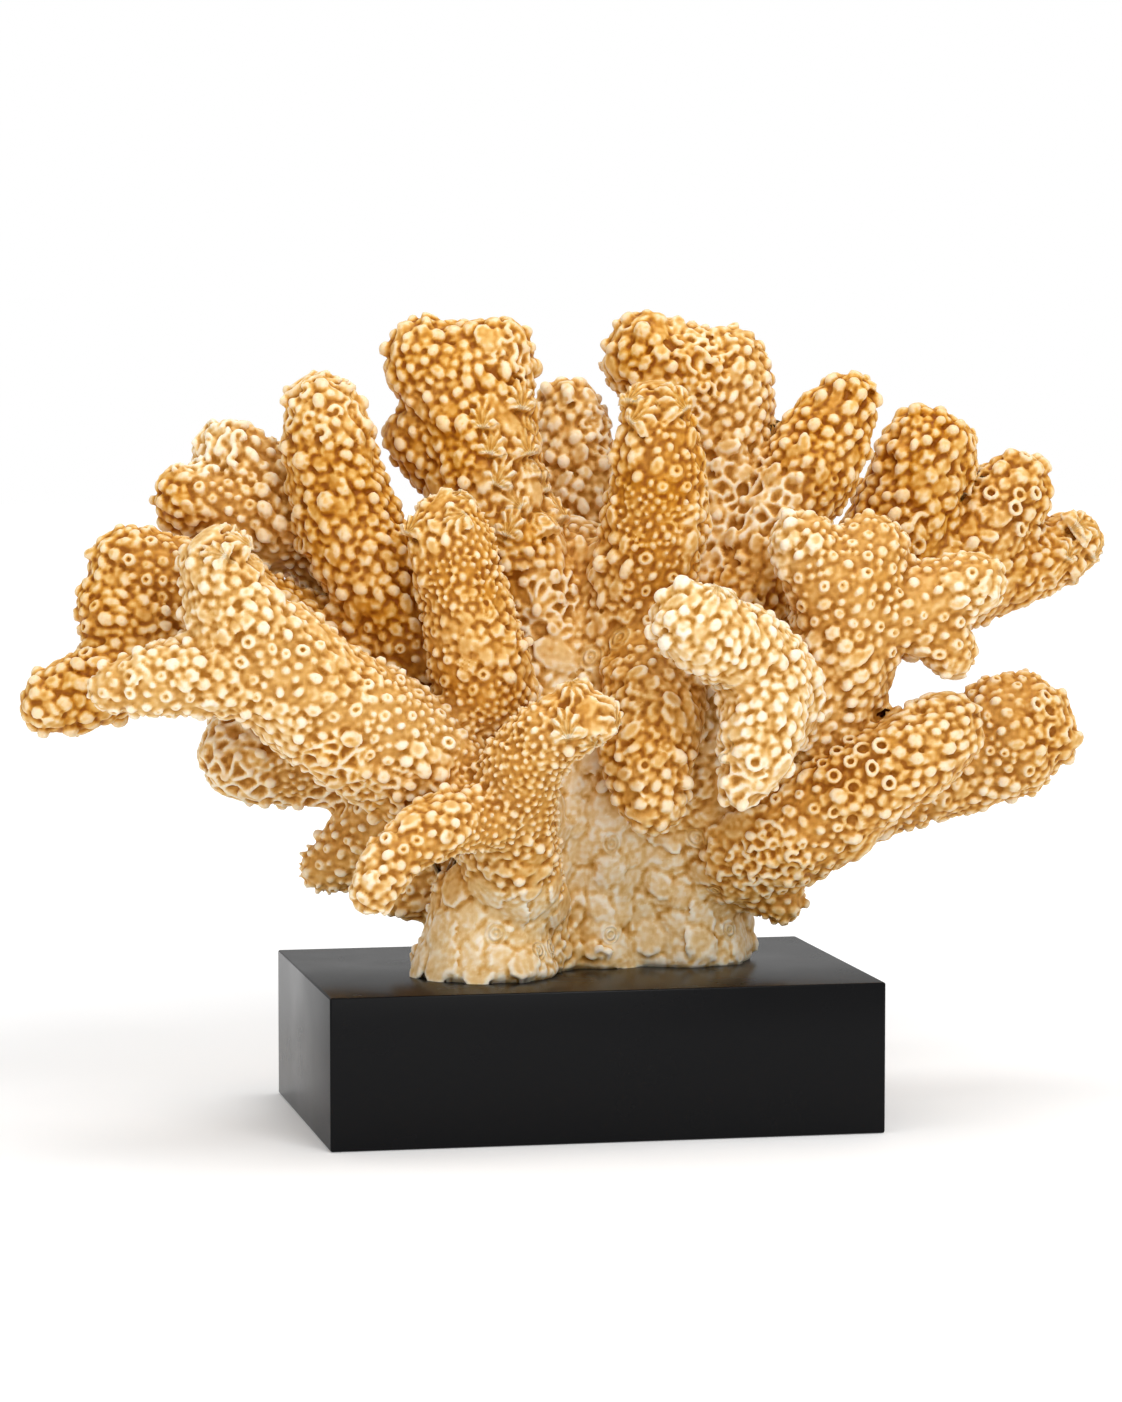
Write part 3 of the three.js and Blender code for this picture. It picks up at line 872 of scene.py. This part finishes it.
def nearestSkin(points):  # the body face under each point, and the height above it
    tree = BVHTree.FromPolygons(smooth.tolist(), quads.tolist())
    under = np.empty(len(points), int)
    height = np.empty(len(points))
    for i, p in enumerate(points.tolist()):
        place, normal, under[i], _ = tree.find_nearest(p)
        height[i] = (Vector(p) - place).dot(normal)
    return under, height


def relaxed(points, pairs, rounds):
    return np.stack([spread(points[:, axis], pairs, rounds) for axis in range(3)], 1)


ribPlans = {  # the lines on a growth: how they run, and how many turns to each unit of its half width
    "fan": ("rays", 2.2),
    "terrace": ("around", 2.2),
}


def linesAt(points):  # where a point lies in the lines of the growth under it, and how clear they are
    centres, axes, plans = [], [], []
    for shape, plan in ribPlans.items():
        places, side, along, up, size = rows[shape]
        centres.append(places + up * size[:, 2:] * 0.4)
        axes.append(np.stack([side / size[:, :1], along / size[:, 1:2]], 1))
        plans += [plan] * len(places)
    centres, axes = np.concatenate(centres), np.concatenate(axes)
    tree = treeOf(centres)
    nearest = np.array([tree.find(p)[1] for p in points.tolist()])
    across, along = ((axes[nearest, i] * (points - centres[nearest])).sum(1) for i in range(2))
    reach = np.hypot(across, along)
    ways = {"rays": np.arctan2(across, along + 1.0), "around": reach}
    way = np.array([plan[0] for plan in plans])[nearest]
    turns = np.array([plan[1] for plan in plans])[nearest]
    phase = turns * sum(value * (way == name) for name, value in ways.items())
    clear = np.clip((1.1 - reach) / 0.3, 0, 1)
    return phase, clear


def shades(points, normals, pairs, under, height, relief):  # tone and paleness of the coat
    plan = coatPlan
    ground = skinTone[quads[under]].mean(1)
    # painted shade and highlight by height: low skin keeps the ground tone, tops take the top tone
    lift = np.clip(height / plan["top"], 0, 1)
    lift = lift * lift * (3 - 2 * lift)
    paleness = pale[quads[under]].mean(1)
    tone = ground + (plan["paintedTopTone"] - ground) * lift + plan["paleLift"] * (paleness - plan["paleMiddle"])
    hollow = ((neighbourMean(points, pairs) - points) * normals).sum(1) / plan["hollow"]
    hollow = spread(hollow, pairs, 2)
    # painted shade in fine creases and painted highlight on convex rims, from how far each point lies below
    # or above its neighbours
    tone -= plan["fineCreasePaintedShade"] * np.clip(hollow, 0, 1.6) + plan["rimPaintedHighlight"] * np.clip(hollow, -1, 0)
    # painted shade in the broad creases and a little painted highlight on what stands proud
    tone += plan["reliefPaintedShadeAndLight"] * np.clip(relief / plan["crease"], -1.2, 0.6)
    return np.clip(tone, 0, 1), paleness


def joinedTo(place, quads, points, wanted):  # the wanted faces in one patch with the one nearest the place
    patch = quads[wanted]
    reached = np.zeros(len(points), bool)
    reached[patch[np.linalg.norm(points[patch].mean(1) - place, axis=1).argmin()]] = True
    before = 0
    while reached.sum() > before:
        before = reached.sum()
        reached[patch[reached[patch].any(1)]] = True
    return reached[quads].all(1)


bpy.data.objects.remove(body)
coat = fuseCoat()
coatPairs = edgePairs(coat.data)
coatQuads = quadsOf(coat.data)
coatPoints = pointsOf(coat.data)
coatPoints += normalsOf(coat.data) * (ripple(coatPoints, coatPlan["roughSize"], 7.7)
                                      * coatPlan["roughHeight"])[:, None]
coatNormals = normalsOf(coat.data)
coatRelief = ((coatPoints - relaxed(coatPoints, coatPairs, coatPlan["relax"])) * coatNormals).sum(1)
limit = coatPlan["crispenLimit"]
coatPoints += coatNormals * np.clip(coatRelief * coatPlan["crispen"], -limit, limit)[:, None]
moveTo(coat.data, coatPoints)
coatNormals = normalsOf(coat.data)
print("coat", len(coatPoints), "points, relief", np.percentile(coatRelief / mm, [2, 25, 50, 75, 98]).round(2))
under, height = nearestSkin(coatPoints)
coatToneWithPaintedLight, coatPale = shades(coatPoints, coatNormals, coatPairs, under, height, coatRelief)
coatPhase, coatLines = linesAt(coatPoints)
print("tone", np.percentile(coatToneWithPaintedLight, [2, 25, 50, 75, 98]).round(2))
coatOwner = tidyBorders(owner[under[coatQuads[:, 0]]], coatQuads, len(coatPoints), 6)
footLevel = footLow + 1.5 * mm
flatUnder = (coatNormals[coatQuads].mean(1)[:, 2] < -0.8) & (coatPoints[coatQuads, 2].max(1) < footLevel)
flatUnder &= joinedTo(core, coatQuads, coatPoints, flatUnder)
coatOwner[flatUnder] = -1  # the sawn underside is closed by one cap
print("tones set")


# Each limb becomes one closed piece: its share of the coat, capped inside

capLip = 4 * mm  # a cap first goes straight in from the border, then to its middle
capDepth = 10 * mm
sawnLevel = footLow - 1 * mm  # just inside the block


def borderLoops(faces):
    sides = np.concatenate([faces[:, [i, (i + 1) % 4]] for i in range(4)])
    codes = sides[:, 0].astype(np.int64) * (1 << 32) + sides[:, 1]
    back = sides[:, 1].astype(np.int64) * (1 << 32) + sides[:, 0]
    following = {}
    for a, b in sides[~np.isin(codes, back)].tolist():
        following.setdefault(a, []).append(b)
    loops = []
    while following:
        start = next(iter(following))
        loop = [start]
        while True:
            at = following[loop[-1]].pop()
            if not following[loop[-1]]:
                del following[loop[-1]]
            if at == start:
                break
            loop.append(at)
        loops.append(loop)
    return loops


def makePiece(index, name):
    faces = coatQuads[coatOwner == index]
    used, inverse = np.unique(faces, return_inverse=True)
    local = np.zeros(len(coatPoints), int)
    local[used] = np.arange(len(used))
    points, normals = [coatPoints[used]], [coatNormals[used]]
    whole = {"tone": coatToneWithPaintedLight, "pale": coatPale, "lines": coatLines, "phase": coatPhase}
    shadesOf = {key: [values[used]] for key, values in whole.items()}
    corners, sizes = [inverse.ravel()], [np.full(len(faces), 4)]
    count = len(used)
    for loop in borderLoops(faces):
        outward = coatNormals[loop].mean(0)
        inner = coatPoints[loop] - coatNormals[loop] * capLip
        deepest = coatPoints[loop].mean(0) - outward * capDepth
        if coatPoints[loop, 2].max() < footLevel:  # the sawn underside is closed flat, inside the block
            inner = coatPoints[loop]
            inner[:, 2] = sawnLevel
            deepest = inner.mean(0)
        points += [inner, deepest[None]]
        normals += [coatNormals[loop], unit(outward[None])]
        for key, parts in shadesOf.items():
            parts += [whole[key][loop], whole[key][loop].mean()[None]]
        ring = local[loop]
        lip = count + np.arange(len(ring))
        middle = count + len(ring)
        corners.append(np.stack([np.roll(ring, -1), ring, lip, np.roll(lip, -1)], 1).ravel())
        sizes.append(np.full(len(ring), 4))
        corners.append(np.stack([np.roll(lip, -1), lip, np.full(len(ring), middle)], 1).ravel())
        sizes.append(np.full(len(ring), 3))
        count = middle + 1
    mesh = meshFrom(name + "_skin", np.concatenate(points), np.concatenate(corners), np.concatenate(sizes))
    for key, parts in shadesOf.items():
        layer = mesh.attributes.new(key, "FLOAT", "POINT")
        layer.data.foreach_set("value", np.concatenate(parts).astype(np.float32))
    mesh.normals_split_custom_set_from_vertices(np.concatenate(normals).tolist())
    return addObject(name + "_coral", mesh)


pieces = {name: makePiece(index, name) for index, name in enumerate(coralNames)}
bpy.data.objects.remove(coat)
triangles = {name: sum(len(p.vertices) - 2 for p in ob.data.polygons) for name, ob in pieces.items()}
print("pieces", triangles, "in all", sum(triangles.values()))


# Materials

class Wire:
    def __init__(self, tree, socket=None):
        self.tree = tree
        self.socket = socket

    def node(self, kind, settings=None, inputs=None, output=0):
        made = self.tree.nodes.new("ShaderNode" + kind)
        for key, value in (settings or {}).items():
            if key == "stops":
                while len(made.color_ramp.elements) < len(value):
                    made.color_ramp.elements.new(0.5)
                for stop, (place, colour) in zip(made.color_ramp.elements, value):
                    stop.position = place
                    stop.color = (*colour, 1)
            else:
                setattr(made, key, value)
        for key, value in (inputs or {}).items():
            if isinstance(value, Wire):
                self.tree.links.new(value.socket, made.inputs[key])
            else:
                made.inputs[key].default_value = value
        return Wire(self.tree, made.outputs[output])

    def sum(self, operation, first, second):
        return self.node("Math", {"operation": operation}, {0: first, 1: second})

    def __add__(self, other):
        return self.sum("ADD", self, other)

    def __radd__(self, other):
        return self.sum("ADD", other, self)

    def __sub__(self, other):
        return self.sum("SUBTRACT", self, other)

    def __rsub__(self, other):
        return self.sum("SUBTRACT", other, self)

    def __mul__(self, other):
        return self.sum("MULTIPLY", self, other)

    def __rmul__(self, other):
        return self.sum("MULTIPLY", other, self)

    def into(self, name):
        self.tree.links.new(self.socket, self.tree.nodes["Principled BSDF"].inputs[name])


def startMaterial(name, settings):
    material = bpy.data.materials.new(name)
    material.use_nodes = True
    shader = material.node_tree.nodes["Principled BSDF"]
    for key, value in settings.items():
        shader.inputs[key].default_value = value
    return material, Wire(material.node_tree)


coralFinish = {
    "amberStops": [(0.0, (0.24, 0.058, 0.0005)), (0.4, (0.54, 0.215, 0.010)), (0.7, (0.72, 0.410, 0.095)),
                   (1.0, (0.88, 0.73, 0.50))],
    "creamStops": [(0.0, (0.42, 0.185, 0.022)), (0.4, (0.67, 0.400, 0.130)), (0.7, (0.81, 0.60, 0.32)),
                   (1.0, (0.92, 0.84, 0.69))],
    "subsurface": 0.08,
    "subsurfaceDepth": 1.5 * mm,
    "shine": 0.1,
    "ribTone": 0.16,
    "ribBump": 0.5 * mm,
    "poreBump": 0.2 * mm,
    "broadScale": 55,
    "broadBlend": 0.5,
    "beadScale": 170,
    "beadTone": 0.25,
    "fineScale": 600,
    "fineTone": 0.2,
    "roughness": 0.34,
    "roughnessSpread": 0.2,
}


def coralMaterial():
    plan = coralFinish
    material, wires = startMaterial("coral skeleton", {
        "Subsurface Weight": plan["subsurface"],
        "Subsurface Scale": plan["subsurfaceDepth"],
        "Subsurface Radius": (1.0, 0.5, 0.15),
        "Specular IOR Level": plan["shine"],
    })
    place = wires.node("TexCoord", output="Object")
    # the tone attribute carries painted shade in hollows and creases and painted highlight on tops and rims
    tone = wires.node("Attribute", {"attribute_name": "tone"}, output="Fac")
    paleness = wires.node("Attribute", {"attribute_name": "pale"}, output="Fac")
    clear = wires.node("Attribute", {"attribute_name": "lines"}, output="Fac")
    phase = wires.node("Attribute", {"attribute_name": "phase"}, output="Fac")
    broad = wires.node("TexNoise", None, {"Vector": place, "Scale": plan["broadScale"], "Detail": 3})
    beadly = wires.node("TexNoise", None, {"Vector": place, "Scale": plan["beadScale"], "Detail": 2})
    fine = wires.node("TexNoise", None, {"Vector": place, "Scale": plan["fineScale"], "Detail": 4})
    ribs = wires.sum("COSINE", phase * (2 * math.pi), 0.0) * clear
    depth = (tone + (fine - 0.5) * plan["fineTone"] + (beadly - 0.5) * plan["beadTone"]
             + ribs * (plan["ribTone"] / 2))
    amber = wires.node("ValToRGB", {"stops": plan["amberStops"]}, {"Fac": depth})
    cream = wires.node("ValToRGB", {"stops": plan["creamStops"]}, {"Fac": depth})
    blendBy = paleness + (broad - 0.5) * plan["broadBlend"]
    colour = wires.node("Mix", {"data_type": "RGBA"}, {"Factor": blendBy, 6: amber, 7: cream}, output=2)
    colour.into("Base Color")
    (plan["roughness"] + fine * plan["roughnessSpread"]).into("Roughness")
    lines = wires.node("Bump", None, {"Strength": 0.7, "Distance": plan["ribBump"], "Height": ribs})
    pores = wires.node("Bump", None, {"Strength": 0.6, "Distance": plan["poreBump"], "Height": fine,
                                      "Normal": lines})
    pores.into("Normal")
    return material


lacquerFinish = {
    "colour": (0.0045, 0.0045, 0.005, 1),
    "roughness": 0.2,
    "shine": 0.09,
    "edgeRadius": 0.9 * mm,
    "edgeSteps": 3,
    "waveBump": 0.02 * mm,
    "hazeScale": 30,
    "hazeSpread": 0.12,
    "dustScale": 900,
}


def lacquerMaterial():
    plan = lacquerFinish
    material, wires = startMaterial("black lacquer", {
        "Base Color": plan["colour"],
        "Specular IOR Level": plan["shine"],
    })
    place = wires.node("TexCoord", output="Object")
    haze = wires.node("TexNoise", None, {"Vector": place, "Scale": plan["hazeScale"], "Detail": 5})
    dust = wires.node("TexNoise", None, {"Vector": place, "Scale": plan["dustScale"], "Detail": 2})
    (plan["roughness"] + haze * plan["hazeSpread"]).into("Roughness")
    bump = wires.node("Bump", None, {"Strength": 0.3, "Distance": plan["waveBump"],
                                     "Height": haze + dust * 0.2})
    bump.into("Normal")
    return material


def standBlock():
    low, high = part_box("stand_block")
    middle = (low + high) / 2
    bpy.ops.object.select_all(action="DESELECT")
    bpy.ops.mesh.primitive_cube_add(size=1, location=middle)
    block = bpy.context.object
    block.name = "black_block"
    block.scale = high - low
    bpy.ops.object.transform_apply(location=True, rotation=False, scale=True)
    applyModifier(block, "BEVEL", width=lacquerFinish["edgeRadius"], segments=lacquerFinish["edgeSteps"],
                  limit_method="ANGLE", harden_normals=False)
    pickOnly(block)
    bpy.ops.object.shade_smooth_by_angle(angle=math.radians(35))
    block.data.materials.append(lacquerMaterial())
    return block


skinMaterial = coralMaterial()
for name, ob in pieces.items():
    ob.data.materials.append(skinMaterial)
    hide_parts(name)
    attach(ob, "root")
block = standBlock()
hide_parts("stand_block")
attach(block, "root")
print("materials on")


# Studio: a pale floor, soft light and the camera

studio = {
    "cameraPlace": (-0.4099, -1.998, 0.3457),
    "cameraAim": (-0.0059, 0.0, 0.1815),
    "lens": 120.4,
    "sky": 0.56,
    "floorTint": (0.87, 0.87, 0.87, 1),
    "glowNear": 0.13,  # the floor's own light by the block, and away from it
    "glowFar": 0.6,
    "glowReach": (0.3, 1.1),
    "floorSize": 14,
    "floorDrop": 0.0002,
    "lights": [  # place, aim, size and power
        ("key", (0.35, -1.5, 1.7), (0, 0, 0.2), (0.8, 0.8), 17),
        ("fill", (-1.6, -0.9, 0.9), (0, 0, 0.2), (1.2, 1.2), 3),
        ("low", (-0.1, -1.9, 0.5), (0, 0, 0.12), (1.2, 0.4), 5),
        ("top", (0.1, 0.1, 1.9), (0, 0, 0.2), (1.2, 0.9), 14),
    ],
}


def areaLight(name, place, aim, size, power):
    data = bpy.data.lights.new(name, "AREA")
    data.shape = "RECTANGLE"
    data.size, data.size_y = size
    data.energy = power
    lamp = bpy.data.objects.new(name, data)
    bpy.context.scene.collection.objects.link(lamp)
    lamp.location = place
    lamp.rotation_euler = (Vector(aim) - Vector(place)).to_track_quat("-Z", "Y").to_euler()


def buildStudio():
    bpy.ops.object.select_all(action="DESELECT")
    bpy.ops.mesh.primitive_plane_add(size=studio["floorSize"], location=(0, 0, -studio["floorDrop"]))
    floor = bpy.context.object
    floor.name = "floor"
    material, wires = startMaterial("glowing floor paper", {
        "Base Color": studio["floorTint"],
        "Roughness": 0.7,
        "Specular IOR Level": 0.1,
        "Emission Strength": 1.0,
    })
    # the floor glows with painted light through its emission, dimmer by the block and brighter away from it
    place = wires.node("TexCoord", output="Object")
    away = wires.node("VectorMath", {"operation": "LENGTH"}, {0: place}, output="Value")
    near, far = studio["glowReach"]
    glow = wires.node("MapRange", {"interpolation_type": "SMOOTHSTEP"}, {
        "Value": away, "From Min": near, "From Max": far,
        "To Min": studio["glowNear"], "To Max": studio["glowFar"]})
    wires.node("CombineXYZ", None, {0: glow, 1: glow, 2: glow}).into("Emission Color")
    floor.data.materials.append(material)
    for light in studio["lights"]:
        areaLight(*light)
    world = bpy.data.worlds.new("studio")
    bpy.context.scene.world = world
    world.use_nodes = True
    wires = Wire(world.node_tree)
    seen = wires.node("LightPath", output="Is Camera Ray")
    strength = seen * (1.0 - studio["sky"]) + studio["sky"]
    back = world.node_tree.nodes["Background"]
    back.inputs["Color"].default_value = (1, 1, 1, 1)
    world.node_tree.links.new(strength.socket, back.inputs["Strength"])
    camera = bpy.data.objects.new("camera", bpy.data.cameras.new("camera"))
    bpy.context.scene.collection.objects.link(camera)
    camera.location = studio["cameraPlace"]
    aim = Vector(studio["cameraAim"]) - Vector(studio["cameraPlace"])
    camera.rotation_euler = aim.to_track_quat("-Z", "Y").to_euler()
    camera.data.lens = studio["lens"]
    camera.data.sensor_width = 36
    bpy.context.scene.camera = camera
    bpy.context.scene.view_settings.view_transform = "Standard"


buildStudio()
print("studio ready")
